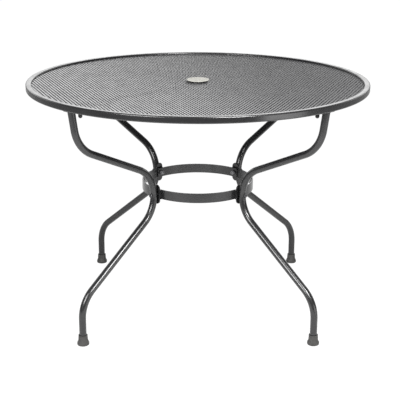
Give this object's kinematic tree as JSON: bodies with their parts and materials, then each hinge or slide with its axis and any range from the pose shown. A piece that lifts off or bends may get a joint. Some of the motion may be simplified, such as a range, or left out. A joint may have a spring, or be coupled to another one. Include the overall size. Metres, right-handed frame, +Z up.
{
  "type": "umbrella table",
  "caption": "Round garden table: mesh top in a rolled rim, umbrella hole with a lift-out plug, and S-bent tube legs bolted to a ring at the waist.",
  "frame": {"origin": "on the floor, under the centre of the top", "axes": "+Z up; -Y is the side the picture looks at; the legs stand at 45 degrees between X and Y"},
  "size_m": [1.06, 1.06, 0.74],
  "materials": {
    "coated_frame": "anthracite powder coat, satin with a fine metallic sparkle",
    "coated_mesh": "anthracite powder coat on expanded metal",
    "coated_fastener": "dark coated steel, slightly glossier than the frame",
    "black_cap": "black moulded plastic",
    "foot_plastic": "dark grey moulded plastic",
    "plug_plastic": "off-white moulded plastic"
  },
  "bodies": {
    "table": {"top_rim": "coated_frame", "top_mesh": "coated_mesh", "umbrella_collar": "coated_frame", "spoke_front_left": "coated_frame", "leg_plate_front_left": "coated_frame", "knob_bolt_front_left": "black_cap", "leg_front_left": "coated_frame", "saddle_plate_front_left": "coated_frame", "ring_bolt_front_left": "coated_fastener", "ring_nut_front_left": "coated_fastener", "foot_front_left": "foot_plastic", "spoke_front_right": "coated_frame", "leg_plate_front_right": "coated_frame", "knob_bolt_front_right": "black_cap", "leg_front_right": "coated_frame", "saddle_plate_front_right": "coated_frame", "ring_bolt_front_right": "coated_fastener", "ring_nut_front_right": "coated_fastener", "foot_front_right": "foot_plastic", "spoke_back_left": "coated_frame", "leg_plate_back_left": "coated_frame", "knob_bolt_back_left": "black_cap", "leg_back_left": "coated_frame", "saddle_plate_back_left": "coated_frame", "ring_bolt_back_left": "coated_fastener", "ring_nut_back_left": "coated_fastener", "foot_back_left": "foot_plastic", "spoke_back_right": "coated_frame", "leg_plate_back_right": "coated_frame", "knob_bolt_back_right": "black_cap", "leg_back_right": "coated_frame", "saddle_plate_back_right": "coated_frame", "ring_bolt_back_right": "coated_fastener", "ring_nut_back_right": "coated_fastener", "foot_back_right": "foot_plastic", "ring_bar_front": "coated_frame", "ring_bar_back": "coated_frame", "ring_bar_left": "coated_frame", "ring_bar_right": "coated_frame"},
    "plug": {"umbrella_plug": "plug_plastic"}
  },
  "joints": [
    {"name": "plug_lift", "type": "slide", "parent": "table", "child": "plug", "axis": [0, 0, 1], "range_m": [0, 0.06]}
  ]
}
